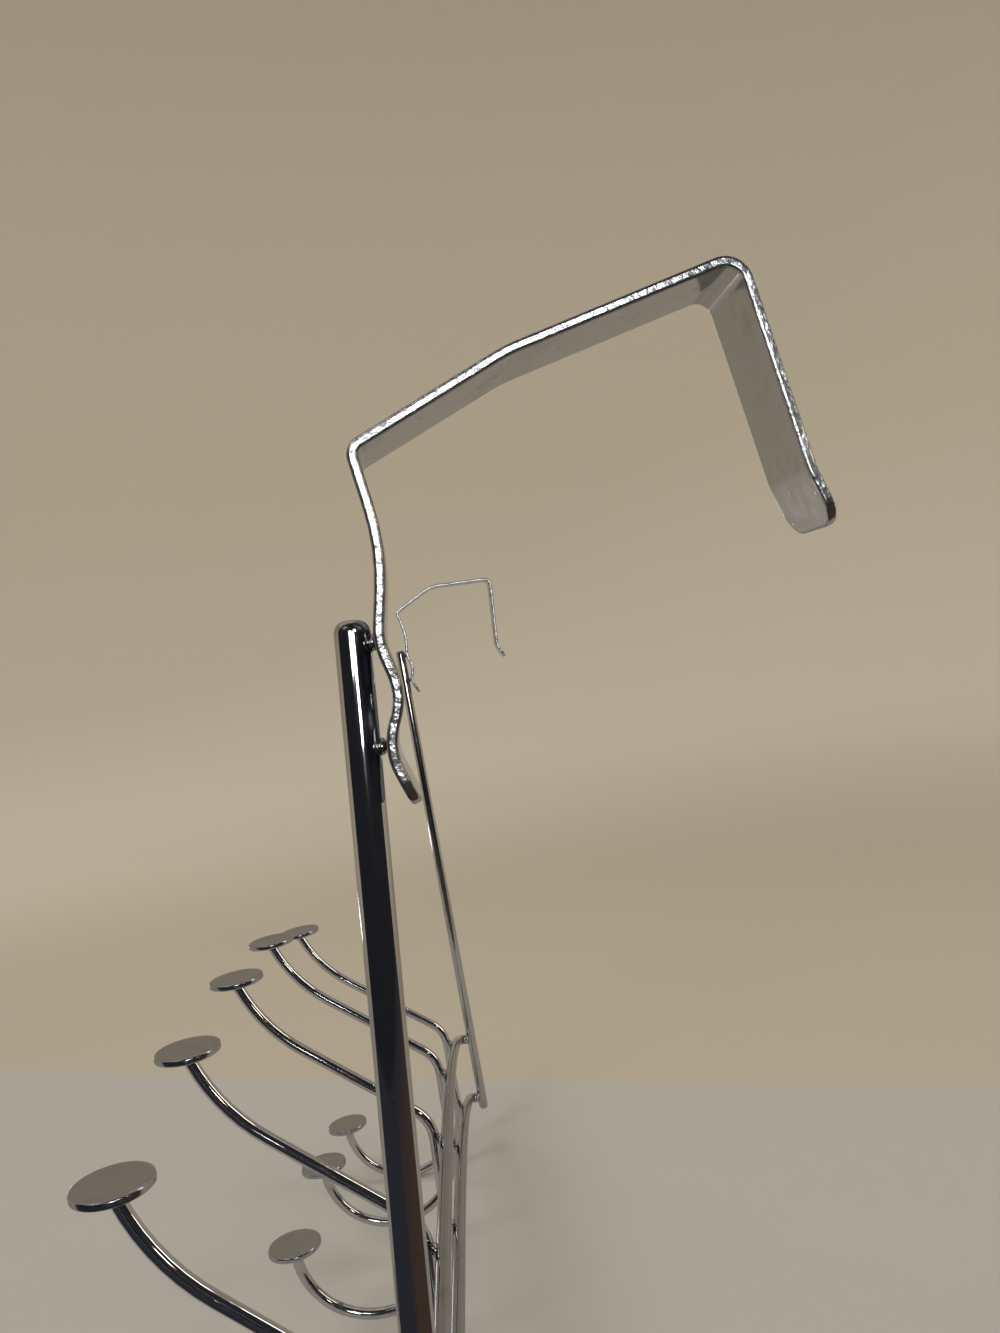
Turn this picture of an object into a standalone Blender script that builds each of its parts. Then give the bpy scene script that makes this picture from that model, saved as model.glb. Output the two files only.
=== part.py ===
"""Over-the-door hook rack: a welded, chromed wire rack with six double hooks.

Two folded straps hang over the top edge of a door. Each carries an upright rod, and two arched rails join the
uprights at their lower ends. Six bent wires cross the front of both rails. Each wire is a double hook, a large
S-arm above and a J below, and each of its two tips ends in a flat round disc.

Frame: +X to the right as seen from the front, -Y to the front, where the hooks point, and +Z up.
Origin: midway between the two straps' front folds, at their height.
Lengths are in metres and angles in degrees.
"""

import math
from dataclasses import dataclass

import bmesh
import bpy
from mathutils import Vector

# Uprights
UPRIGHT_SPACING = 0.420
UPRIGHT_DIAMETER = 0.0046
UPRIGHT_LENGTH = 0.246
UPRIGHT_TIP_ROUNDING = 0.0016
FOLD_ABOVE_UPRIGHT = 0.020

# The photographed rack is a little twisted: hung by its folds, the left upright's foot leans to the rear and the
# right one's to the front, each by this angle, and the rails and hooks follow
UPRIGHT_LEAN = 2.6

# Rails: both follow one arch, and their ends turn back onto the front of the uprights
RAIL_DIAMETER = 0.0046
RAIL_STANDOFF = 0.0064
RAIL_PITCH = 0.0315
LOWER_RAIL_ABOVE_TIP = 0.0065
RAIL_RISE = 0.030
RAIL_FULLNESS = 2.6

# Double hooks
HOOK_COUNT = 6
HOOK_WIRE_DIAMETER = 0.0038
STEM_PAST_UPPER_RAIL = 0.0005
SHOULDER_RADIUS = 0.014
SHOULDER_TURN = 52.5
ARM_RUN = 0.046
ARM_RADIUS = 0.060
ARM_TURN = 31
TIP_RADIUS = 0.005
J_RADIUS = 0.0275
J_TIP_RUN = 0.001

# Discs on the tips
DISC_DIAMETER = 0.019
DISC_THICKNESS = 0.0020
DISC_RIM_ROUNDING = 0.0006
DISC_TILT = 1.5

# Over-door straps
STRAP_WIDTH = 0.014
STRAP_THICKNESS = 0.0014
STRAP_CORNER_RADIUS = 0.0035
UPPER_WELD_DROP = 0.003
LOWER_WELD_DROP = 0.016
WAVE_DEPTH = 0.0022
TAIL_LENGTH = 0.007
TAIL_FLARE = 0.003
BOW_BELOW_FOLD = 0.012
BOW_DEPTH = 0.0014
FOLD_SET_FORWARD = 0.0013
STRAP_RISE_LENGTH = 0.0222
STRAP_TOP_LENGTH = 0.0312
REAR_TIP_LENGTH = 0.0075
WAVE_BEND_RADIUS = 0.008
BOW_RADIUS = 0.030
FRONT_FOLD_RADIUS = 0.0018
CROWN_RADIUS = 0.016
REAR_FOLD_RADIUS = 0.003
REAR_TIP_RADIUS = 0.006

# Gap that welded pieces keep, and the fineness of the faceted surfaces
WELD_GAP = 0.0003
BEND_STEP = 12
RAIL_STEPS = 24
ROUND_SEGMENTS = 12
DISC_SEGMENTS = 24
ROUNDING_SEGMENTS = 3
CORNER_SEGMENTS = 3
WIRE_BEVEL_RESOLUTION = 4

# Sizes that follow from those above
UPRIGHT_RADIUS = UPRIGHT_DIAMETER / 2
RAIL_RADIUS = RAIL_DIAMETER / 2
HOOK_WIRE_RADIUS = HOOK_WIRE_DIAMETER / 2
UPRIGHT_TOP_Z = -FOLD_ABOVE_UPRIGHT
UPRIGHT_TIP_Z = UPRIGHT_TOP_Z - UPRIGHT_LENGTH
LOWER_RAIL_END_Z = UPRIGHT_TIP_Z + LOWER_RAIL_ABOVE_TIP
UPPER_RAIL_END_Z = LOWER_RAIL_END_Z + RAIL_PITCH
STEM_Y = -(RAIL_STANDOFF + RAIL_RADIUS + WELD_GAP + HOOK_WIRE_RADIUS)
HOOK_PITCH = UPRIGHT_SPACING / HOOK_COUNT
STRAP_SEAT_Y = UPRIGHT_RADIUS + WELD_GAP + STRAP_THICKNESS / 2
LEAN_SLOPE = math.tan(math.radians(UPRIGHT_LEAN))

# Headings in a drawing plane, where 0 is forward and 90 is up
UP = 90
DOWN = -90
RIGHT_ANGLE = 90
HALF_TURN = 180


@dataclass(frozen=True)
class StrapBends:
    """How one strap is bent above the front fold, in degrees, and how long its rear leg comes out.

    The rise and the top slope up towards the rear. The rear leg and its tip lean outward from straight down.
    """

    side: str
    rise_slope: float
    top_slope: float
    leg_lean: float
    tip_lean: float
    leg_length: float


# The two straps of the photographed rack are sprung open unlike each other
LEFT_STRAP = StrapBends("left", 27, -2.5, -4, 24.5, 0.0347)
RIGHT_STRAP = StrapBends("right", 27.5, 18.5, 14, 22.5, 0.0275)


class BendingPen:
    """Draws the centre line of a bent wire in a plane, from straight runs and tangent arcs."""

    def __init__(self, across, up, heading):
        self.heading = heading
        self.points = [Vector((across, up))]

    def run(self, length):
        """Go straight on for a length."""
        angle = math.radians(self.heading)
        self.points.append(self.points[-1] + length * Vector((math.cos(angle), math.sin(angle))))

    def bend(self, radius, turn):
        """Follow an arc of a radius, turning left for a positive angle and right for a negative one."""
        side = math.copysign(1, turn)
        start = math.radians(self.heading)
        centre = self.points[-1] + side * radius * Vector((-math.sin(start), math.cos(start)))
        steps = math.ceil(abs(turn) / BEND_STEP)
        for step in range(1, steps + 1):
            angle = start + math.radians(turn) * step / steps
            self.points.append(centre - side * radius * Vector((-math.sin(angle), math.cos(angle))))
        self.heading += turn


def clear_scene():
    """Remove every object that the file opened with."""
    for item in list(bpy.data.objects):
        bpy.data.objects.remove(item, do_unlink=True)


def metal(name, colour, roughness):
    """Make a plated metal with a Principled shader."""
    material = bpy.data.materials.new(name)
    material.use_nodes = True
    shader = material.node_tree.nodes["Principled BSDF"]
    shader.inputs["Base Color"].default_value = (*colour, 1)
    shader.inputs["Metallic"].default_value = 1
    shader.inputs["Roughness"].default_value = roughness
    return material


def place(name, data, material, parent, location=(0, 0, 0), rotation=(0, 0, 0)):
    """Put a named object with its material under its parent."""
    if not data.materials:
        data.materials.append(material)
    item = bpy.data.objects.new(name, data)
    item.parent = parent
    item.location = location
    item.rotation_euler = rotation
    bpy.context.scene.collection.objects.link(item)
    return item


def wire(name, points, radius):
    """Make a round wire with flat cut ends along a line of points."""
    curve = bpy.data.curves.new(name, "CURVE")
    curve.dimensions = "3D"
    curve.fill_mode = "FULL"
    curve.bevel_depth = radius
    curve.bevel_resolution = WIRE_BEVEL_RESOLUTION
    curve.use_fill_caps = True
    spline = curve.splines.new("POLY")
    spline.points.add(len(points) - 1)
    for target, point in zip(spline.points, points):
        target.co = (*point, 1)
    return curve


def turned_solid(name, profile, segments):
    """Spin a profile of radius and height pairs, which starts and ends on the axis, about Z."""
    mesh = bpy.data.meshes.new(name)
    shape = bmesh.new()
    verts = [shape.verts.new((radius, 0, height)) for radius, height in profile]
    edges = [shape.edges.new(pair) for pair in zip(verts, verts[1:])]
    bmesh.ops.spin(
        shape, geom=verts + edges, cent=(0, 0, 0), axis=(0, 0, 1), angle=math.tau, steps=segments, use_merge=True
    )
    bmesh.ops.remove_doubles(shape, verts=shape.verts, dist=WELD_GAP / segments)
    bmesh.ops.recalc_face_normals(shape, faces=shape.faces)
    shape.to_mesh(mesh)
    shape.free()
    mesh.shade_smooth()
    mesh.set_sharp_from_angle(angle=math.radians(RIGHT_ANGLE / 2))
    return mesh


def rounded_profile(radius, bottom, top, rounding):
    """Outline of a solid of revolution with both rims rounded, from the axis below to the axis above."""
    profile = [(0, bottom)]
    for centre_height, start in ((bottom + rounding, DOWN), (top - rounding, 0)):
        for step in range(ROUNDING_SEGMENTS + 1):
            angle = math.radians(start + RIGHT_ANGLE * step / ROUNDING_SEGMENTS)
            height = centre_height + rounding * math.sin(angle)
            profile.append((radius - rounding + rounding * math.cos(angle), height))
    profile.append((0, top))
    return profile


def without_repeats(points):
    """Drop each point that lies on the one before it, as where two roundings meet."""
    kept = [points[0]]
    for point in points[1:]:
        if math.dist(point, kept[-1]) > WELD_GAP / ROUND_SEGMENTS:
            kept.append(point)
    return kept


def rail_height(x):
    """Height of the rails' arch above their ends at a place along the rack."""
    reach_share = abs(x) / (UPRIGHT_SPACING / 2)
    return RAIL_RISE * (1 - reach_share**RAIL_FULLNESS)


def rail_yaw(end_z):
    """Angle about Z at which a rail runs from one leaning upright to the other."""
    return math.atan(end_z * LEAN_SLOPE / (UPRIGHT_SPACING / 2))


def rail_points(end_z):
    """Centre line of a rail: an arch whose two ends turn back at right angles onto the uprights' front."""
    seat_y = -(UPRIGHT_RADIUS + WELD_GAP)
    end_radius = RAIL_STANDOFF + seat_y
    half_span = UPRIGHT_SPACING / 2 / math.cos(rail_yaw(end_z))
    end_steps = math.ceil(RIGHT_ANGLE / BEND_STEP)
    half = []
    for step in range(end_steps):
        angle = math.radians(RIGHT_ANGLE * step / end_steps)
        half.append((half_span - end_radius * (1 - math.cos(angle)), seat_y - end_radius * math.sin(angle)))
    straight_half = half_span - end_radius
    for step in range(RAIL_STEPS // 2):
        half.append((straight_half * (1 - 2 * step / RAIL_STEPS), -RAIL_STANDOFF))
    plan = half + [(0, -RAIL_STANDOFF)] + [(-x, y) for x, y in reversed(half)]
    return [Vector((x, y, end_z + rail_height(x))) for x, y in plan]


def upper_arm():
    """Upper arm in its plane, from the upper rail's crossing: up, over the shoulder and out to the tip."""
    pen = BendingPen(0, 0, UP)
    pen.run(STEM_PAST_UPPER_RAIL)
    pen.bend(SHOULDER_RADIUS, -SHOULDER_TURN)
    pen.run(ARM_RUN)
    pen.bend(ARM_RADIUS, ARM_TURN)
    pen.bend(TIP_RADIUS, UP - DISC_TILT - pen.heading)
    return pen


def lower_arm():
    """Lower arm in its plane, from the upper rail's crossing: down past the lower rail and round the J."""
    pen = BendingPen(0, 0, DOWN)
    pen.run(RAIL_PITCH)
    pen.bend(J_RADIUS, HALF_TURN - DISC_TILT)
    pen.run(J_TIP_RUN)
    return pen


def to_hook_space(point):
    """Turn a point drawn as forward and up into the hook's own X, Y and Z."""
    return Vector((0, -point.x, point.y))


def disc_centre(pen):
    """Centre of the disc that sits square on the end of an arm."""
    angle = math.radians(pen.heading)
    lift = WELD_GAP + DISC_THICKNESS / 2
    return to_hook_space(pen.points[-1] + lift * Vector((math.cos(angle), math.sin(angle))))


def filleted_line(corners, radii):
    """Round each inner corner of a line by its radius, which its neighbouring runs may limit."""
    points = [corners[0]]
    for before, corner, after, radius in zip(corners, corners[1:], corners[2:], radii):
        back = (before - corner).normalized()
        ahead = (after - corner).normalized()
        half_corner = back.angle(ahead) / 2
        turn = math.pi - 2 * half_corner
        room = min((before - corner).length, (after - corner).length) / 2
        setback = min(radius / math.tan(half_corner), room)
        fillet = setback * math.tan(half_corner)
        centre = corner + (back + ahead).normalized() * fillet / math.sin(half_corner)
        start = corner + back * setback - centre
        sweep = math.copysign(turn, ahead.x * back.y - ahead.y * back.x)
        steps = max(2, math.ceil(math.degrees(turn) / BEND_STEP))
        for step in range(steps + 1):
            angle = sweep * step / steps
            spoke = Vector(
                (
                    start.x * math.cos(angle) - start.y * math.sin(angle),
                    start.x * math.sin(angle) + start.y * math.cos(angle),
                )
            )
            points.append(centre + spoke)
    points.append(corners[-1])
    return points


def strap_line(bends):
    """Centre line of a strap as Y and Z, from the flared tail behind the upright to the rear tip."""
    fold = Vector((STRAP_SEAT_Y - FOLD_SET_FORWARD, 0))
    corners = [
        Vector((STRAP_SEAT_Y + TAIL_FLARE, UPRIGHT_TOP_Z - LOWER_WELD_DROP - TAIL_LENGTH)),
        Vector((STRAP_SEAT_Y, UPRIGHT_TOP_Z - LOWER_WELD_DROP)),
        Vector((STRAP_SEAT_Y + WAVE_DEPTH, UPRIGHT_TOP_Z - (UPPER_WELD_DROP + LOWER_WELD_DROP) / 2)),
        Vector((STRAP_SEAT_Y, UPRIGHT_TOP_Z - UPPER_WELD_DROP)),
        Vector((STRAP_SEAT_Y + BOW_DEPTH, -BOW_BELOW_FOLD)),
        fold,
    ]
    runs = (
        (STRAP_RISE_LENGTH, bends.rise_slope),
        (STRAP_TOP_LENGTH, bends.top_slope),
        (bends.leg_length, DOWN + bends.leg_lean),
        (REAR_TIP_LENGTH, DOWN + bends.tip_lean),
    )
    for length, heading in runs:
        angle = math.radians(heading)
        corners.append(corners[-1] + length * Vector((math.cos(angle), math.sin(angle))))
    radii = [WAVE_BEND_RADIUS] * 3 + [BOW_RADIUS, FRONT_FOLD_RADIUS, CROWN_RADIUS, REAR_FOLD_RADIUS, REAR_TIP_RADIUS]
    return filleted_line(corners, radii)


def offset_line(points, distance):
    """Shift a line sideways by a distance, with mitred corners, so that its flat runs stay flat."""
    shifted = []
    for index, point in enumerate(points):
        before = (point - points[max(index - 1, 0)]).normalized()
        after = (points[min(index + 1, len(points) - 1)] - point).normalized()
        before = before if index else after
        after = after if index < len(points) - 1 else before
        mean = (before + after).normalized()
        normal = Vector((-mean.y, mean.x))
        shifted.append(point + normal * distance / mean.dot(before))
    return shifted


def strip(name, line):
    """Make a flat strip of the strap's width along a line, with rounded corners at both ends."""
    mesh = bpy.data.meshes.new(name)
    shape = bmesh.new()
    half_width = STRAP_WIDTH / 2
    outer = offset_line(line, STRAP_THICKNESS / 2)
    inner = offset_line(line, -STRAP_THICKNESS / 2)
    rings = []
    for above, below in zip(outer, inner):
        ring = [(-half_width, above), (half_width, above), (half_width, below), (-half_width, below)]
        rings.append([shape.verts.new((x, point.x, point.y)) for x, point in ring])
    for first, second in zip(rings, rings[1:]):
        for corner in range(4):
            following = (corner + 1) % 4
            shape.faces.new((first[corner], first[following], second[following], second[corner]))
    shape.faces.new(rings[0])
    shape.faces.new(rings[-1])
    bmesh.ops.recalc_face_normals(shape, faces=shape.faces)
    end_corners = []
    for ring in (rings[0], rings[-1]):
        end_corners.append(shape.edges.get((ring[0], ring[3])))
        end_corners.append(shape.edges.get((ring[1], ring[2])))
    bmesh.ops.bevel(
        shape, geom=end_corners, offset=STRAP_CORNER_RADIUS, segments=CORNER_SEGMENTS, profile=0.5, affect="EDGES"
    )
    shape.to_mesh(mesh)
    shape.free()
    mesh.shade_smooth()
    mesh.set_sharp_from_angle(angle=math.radians(RIGHT_ANGLE / 2))
    return mesh


def build_sides(rack):
    """Two upright rods with rounded ends, each with its over-door strap, which lean together."""
    rod_chrome = metal("upright_chrome", (0.74, 0.75, 0.77), 0.10)
    strap_chrome = metal("strap_chrome", (0.78, 0.78, 0.79), 0.16)
    profile = rounded_profile(UPRIGHT_RADIUS, UPRIGHT_TIP_Z, UPRIGHT_TOP_Z, UPRIGHT_TIP_ROUNDING)
    rod = turned_solid("upright_rod", without_repeats(profile), ROUND_SEGMENTS)
    for bends, outward in ((LEFT_STRAP, -1), (RIGHT_STRAP, 1)):
        side = bpy.data.objects.new(f"side_{bends.side}", None)
        side.parent = rack
        side.location = (outward * UPRIGHT_SPACING / 2, 0, 0)
        side.rotation_euler = (-outward * math.radians(UPRIGHT_LEAN), 0, 0)
        bpy.context.scene.collection.objects.link(side)
        place(f"upright_{bends.side}", rod, rod_chrome, side)
        place(f"strap_{bends.side}", strip(f"strap_{bends.side}", strap_line(bends)), strap_chrome, side)


def build_rails(rack):
    """Two arched rails, one pitch apart. Returns the upper one, which carries the hooks."""
    chrome = metal("rail_chrome", (0.72, 0.73, 0.75), 0.12)
    rails = []
    for level, end_z in (("upper", UPPER_RAIL_END_Z), ("lower", LOWER_RAIL_END_Z)):
        rail = wire(f"rail_{level}", rail_points(end_z), RAIL_RADIUS)
        rails.append(place(f"rail_{level}", rail, chrome, rack, rotation=(0, 0, rail_yaw(end_z))))
    return rails[0]


def build_hooks(upper_rail):
    """Six double hooks with a disc on each tip, spaced evenly along the arch and square to the rails.

    The rails cross each other a little in plan, so each hook leans until its stem lies along the front of both.
    """
    wire_chrome = metal("hook_chrome", (0.74, 0.74, 0.76), 0.10)
    disc_chrome = metal("disc_chrome", (0.80, 0.80, 0.81), 0.14)
    lower, upper = lower_arm(), upper_arm()
    line = [to_hook_space(point) for point in lower.points[:0:-1] + upper.points]
    hook_wire = wire("hook_wire", line, HOOK_WIRE_RADIUS)
    profile = rounded_profile(DISC_DIAMETER / 2, -DISC_THICKNESS / 2, DISC_THICKNESS / 2, DISC_RIM_ROUNDING)
    disc = turned_solid("disc", without_repeats(profile), DISC_SEGMENTS)
    crossing_slope = math.tan(rail_yaw(LOWER_RAIL_END_Z) - rail_yaw(UPPER_RAIL_END_Z))
    for number in range(1, HOOK_COUNT + 1):
        x = (number - (HOOK_COUNT + 1) / 2) * HOOK_PITCH
        location = (x, STEM_Y, UPPER_RAIL_END_Z + rail_height(x))
        lean = (math.atan(x * crossing_slope / RAIL_PITCH), 0, 0)
        hook = place(f"hook_{number}", hook_wire, wire_chrome, upper_rail, location=location, rotation=lean)
        for level, pen in (("upper", upper), ("lower", lower)):
            tilt = (math.radians(DISC_TILT), 0, 0)
            place(f"disc_{level}_{number}", disc, disc_chrome, hook, location=disc_centre(pen), rotation=tilt)


def main():
    """Build the whole rack under one empty."""
    clear_scene()
    rack = bpy.data.objects.new("rack", None)
    bpy.context.scene.collection.objects.link(rack)
    build_sides(rack)
    build_hooks(build_rails(rack))
    bpy.context.view_layer.update()


main()
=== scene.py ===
"""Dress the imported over-the-door hook rack in bright chrome and set it in a pale, soft studio.

Every CAD node is replaced by a finer piece of the same size and place: smooth wires and rods, discs with
rolled rims and fine pits, straps with eased edges, and the small fillets of metal that each weld leaves.
Lengths are in metres and angles in degrees. +X is to the right, -Y to the front and +Z up.
"""

import logging
import math
from collections.abc import Callable
from dataclasses import dataclass, field
from enum import Enum

import bpy
from mathutils import Matrix, Vector

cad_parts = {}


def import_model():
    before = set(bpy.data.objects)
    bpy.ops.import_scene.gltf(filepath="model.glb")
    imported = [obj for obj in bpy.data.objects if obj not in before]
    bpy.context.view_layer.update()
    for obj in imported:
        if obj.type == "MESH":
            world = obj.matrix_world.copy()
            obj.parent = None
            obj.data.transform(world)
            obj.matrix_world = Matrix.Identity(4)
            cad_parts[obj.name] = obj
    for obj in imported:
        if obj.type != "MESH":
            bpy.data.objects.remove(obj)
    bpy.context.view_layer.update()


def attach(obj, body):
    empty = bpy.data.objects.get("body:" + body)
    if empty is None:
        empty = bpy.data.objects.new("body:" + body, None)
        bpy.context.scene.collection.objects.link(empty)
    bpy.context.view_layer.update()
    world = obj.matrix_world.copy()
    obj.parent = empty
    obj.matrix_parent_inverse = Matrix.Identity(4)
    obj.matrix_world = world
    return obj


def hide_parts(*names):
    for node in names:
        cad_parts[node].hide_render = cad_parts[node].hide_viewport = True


LOG = logging.getLogger("rack")
BODY = "root"

Piece = bpy.types.Object
Material = bpy.types.Material
Tree = bpy.types.NodeTree
Node = bpy.types.Node
Outputs = bpy.types.NodeOutputs
Socket = bpy.types.NodeSocket
Triple = tuple[float, float, float]
Span = tuple[float, float]
Inputs = dict[str | int, Socket | float | Triple]
Operator = Callable[..., object]
EdgeTest = Callable[[Vector, Vector], bool]

UP = 90
DOWN = -90
RIGHT_ANGLE = 90
HALF_TURN = 180
CREASE = 45


def turn_between(before: float, after: float) -> float:
    """Smallest turn, in degrees, from one heading to another."""
    return (after - before + HALF_TURN) % (2 * HALF_TURN) - HALF_TURN


def toward(heading: float) -> Vector:
    """Direction of a heading in degrees, as its two parts in a plane."""
    angle = math.radians(heading)
    return Vector((math.cos(angle), math.sin(angle)))


def in_space(point: Vector, forward: int) -> Vector:
    """Place in space of a point drawn as forward and up, where forward is 1 for +Y and -1 for -Y."""
    return Vector((0, forward * point.x, point.y))


def quarter_turn(steps: int) -> list[Span]:
    """Start and end, in radians, of each step of a quarter turn."""
    stops = [math.radians(RIGHT_ANGLE * step / steps) for step in range(steps + 1)]
    return list(zip(stops, stops[1:]))


class Level(Enum):
    """The two levels of rails and of hook arms."""

    UPPER = "upper"
    LOWER = "lower"


class Side(Enum):
    """The two ends of the rack. The value is the side's direction along X."""

    LEFT = -1
    RIGHT = 1

    @property
    def word(self) -> str:
        """Side's name in lower case."""
        return self.name.lower()


@dataclass(frozen=True)
class RackSizes:
    """Sizes that the sub-assemblies share, as the solids have them."""

    spacing: float = 0.420
    rod_radius: float = 0.0023
    rod_top: float = -0.020
    rod_foot: float = -0.266
    lean: float = 2.6
    rail_radius: float = 0.0023
    rail_standoff: float = 0.0064
    rail_pitch: float = 0.0315
    rail_rise: float = 0.030
    rail_fullness: float = 2.6
    lower_rail_above_foot: float = 0.0065
    wire_radius: float = 0.0019
    hook_count: int = 6
    weld_gap: float = 0.0003

    @property
    def half_span(self) -> float:
        """Half the distance between the uprights."""
        return self.spacing / 2

    @property
    def stem_y(self) -> float:
        """Y of the hooks' stems, in front of the rails."""
        return -(self.rail_standoff + self.rail_radius + self.weld_gap + self.wire_radius)

    def rail_end(self, level: Level) -> float:
        """Height of a rail's ends."""
        lower = self.rod_foot + self.lower_rail_above_foot
        return lower if level is Level.LOWER else lower + self.rail_pitch

    def rail_height(self, x: float) -> float:
        """Height of the rails' arch above their ends at a place along the rack."""
        return self.rail_rise * (1 - (abs(x) / self.half_span) ** self.rail_fullness)

    def rail_yaw(self, level: Level) -> float:
        """Angle about Z, in radians, at which a rail runs from one leaning upright to the other."""
        return math.atan(self.rail_end(level) * math.tan(math.radians(self.lean)) / self.half_span)

    def side_place(self, side: Side) -> Matrix:
        """Place of one upright and its strap."""
        turn = Matrix.Rotation(-side.value * math.radians(self.lean), 4, "X")
        return Matrix.Translation((side.value * self.half_span, 0, 0)) @ turn

    def hook_place(self, number: int) -> Matrix:
        """Place of one hook, from its stem's crossing with the upper rail.

        Args:
            number: The hook's number, counted from the left.

        Returns:
            The matrix that carries a hook modelled at the origin to its place.
        """
        x = (number - (self.hook_count + 1) / 2) * self.spacing / self.hook_count
        yaw = self.rail_yaw(Level.UPPER)
        slope = math.tan(self.rail_yaw(Level.LOWER) - yaw)
        crossing = Matrix.Translation((x, self.stem_y, self.rail_end(Level.UPPER) + self.rail_height(x)))
        lean = Matrix.Rotation(math.atan(x * slope / self.rail_pitch), 4, "X")
        return Matrix.Rotation(yaw, 4, "Z") @ crossing @ lean


SIZES = RackSizes()


@dataclass(frozen=True)
class Finish:
    """How one kind of chromed steel looks, from its tint down to the pits in its plating. A tint set darker
    than the wire's is painted shade on that part.
    """

    slot: str
    tint: Triple
    film_tint: Triple
    roughness: float
    film_roughness: float
    film_size: float
    ripple_size: float
    pit_share: float
    pit_size: float = 0.0012
    pit_depth: float = 0.00003
    ripple_depth: float = 0.00003
    cut_edge_at: tuple[float, ...] = ()


# The rods' tint is a little darker than the wire's: painted shade on the uprights.
ROD_CHROME = Finish(
    slot="upright_chrome",
    tint=(0.51, 0.515, 0.53),
    film_tint=(0.43, 0.42, 0.40),
    roughness=0.06,
    film_roughness=0.17,
    film_size=0.030,
    ripple_size=0.0060,
    pit_share=0.02,
)
# The rails' tint and film tint are darker and bluer than the wire's: painted shade, a shaded copy of the
# same chrome.
RAIL_CHROME = Finish(
    slot="rail_chrome",
    tint=(0.39, 0.41, 0.465),
    film_tint=(0.335, 0.335, 0.355),
    roughness=0.07,
    film_roughness=0.19,
    film_size=0.026,
    ripple_size=0.0050,
    pit_share=0.06,
)
WIRE_CHROME = Finish(
    slot="hook_chrome",
    tint=(0.56, 0.565, 0.59),
    film_tint=(0.47, 0.45, 0.43),
    roughness=0.06,
    film_roughness=0.17,
    film_size=0.022,
    ripple_size=0.0050,
    pit_share=0.06,
    pit_size=0.0011,
)
# The discs' tint is darker and bluer than the wire's: painted shade on the disc faces.
DISC_CHROME = Finish(
    slot="disc_chrome",
    tint=(0.42, 0.435, 0.475),
    film_tint=(0.37, 0.375, 0.395),
    roughness=0.14,
    film_roughness=0.22,
    film_size=0.012,
    ripple_size=0.0035,
    pit_share=0.14,
    pit_size=0.0006,
    pit_depth=0.000008,
    ripple_depth=0.00002,
)
# The straps' tint is darker than the wire's: painted shade on the strap faces.
STRAP_CHROME = Finish(
    slot="strap_chrome",
    tint=(0.47, 0.49, 0.53),
    film_tint=(0.41, 0.42, 0.43),
    roughness=0.12,
    film_roughness=0.26,
    film_size=0.016,
    ripple_size=0.0045,
    pit_share=0.10,
    cut_edge_at=(-0.210, 0.210),
)
WELD_CHROME = Finish(
    slot="hook_chrome",
    tint=(0.58, 0.575, 0.57),
    film_tint=(0.46, 0.43, 0.39),
    roughness=0.15,
    film_roughness=0.30,
    film_size=0.006,
    ripple_size=0.0014,
    pit_share=0.25,
    pit_size=0.0009,
    pit_depth=0.00004,
    ripple_depth=0.00005,
)


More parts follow.
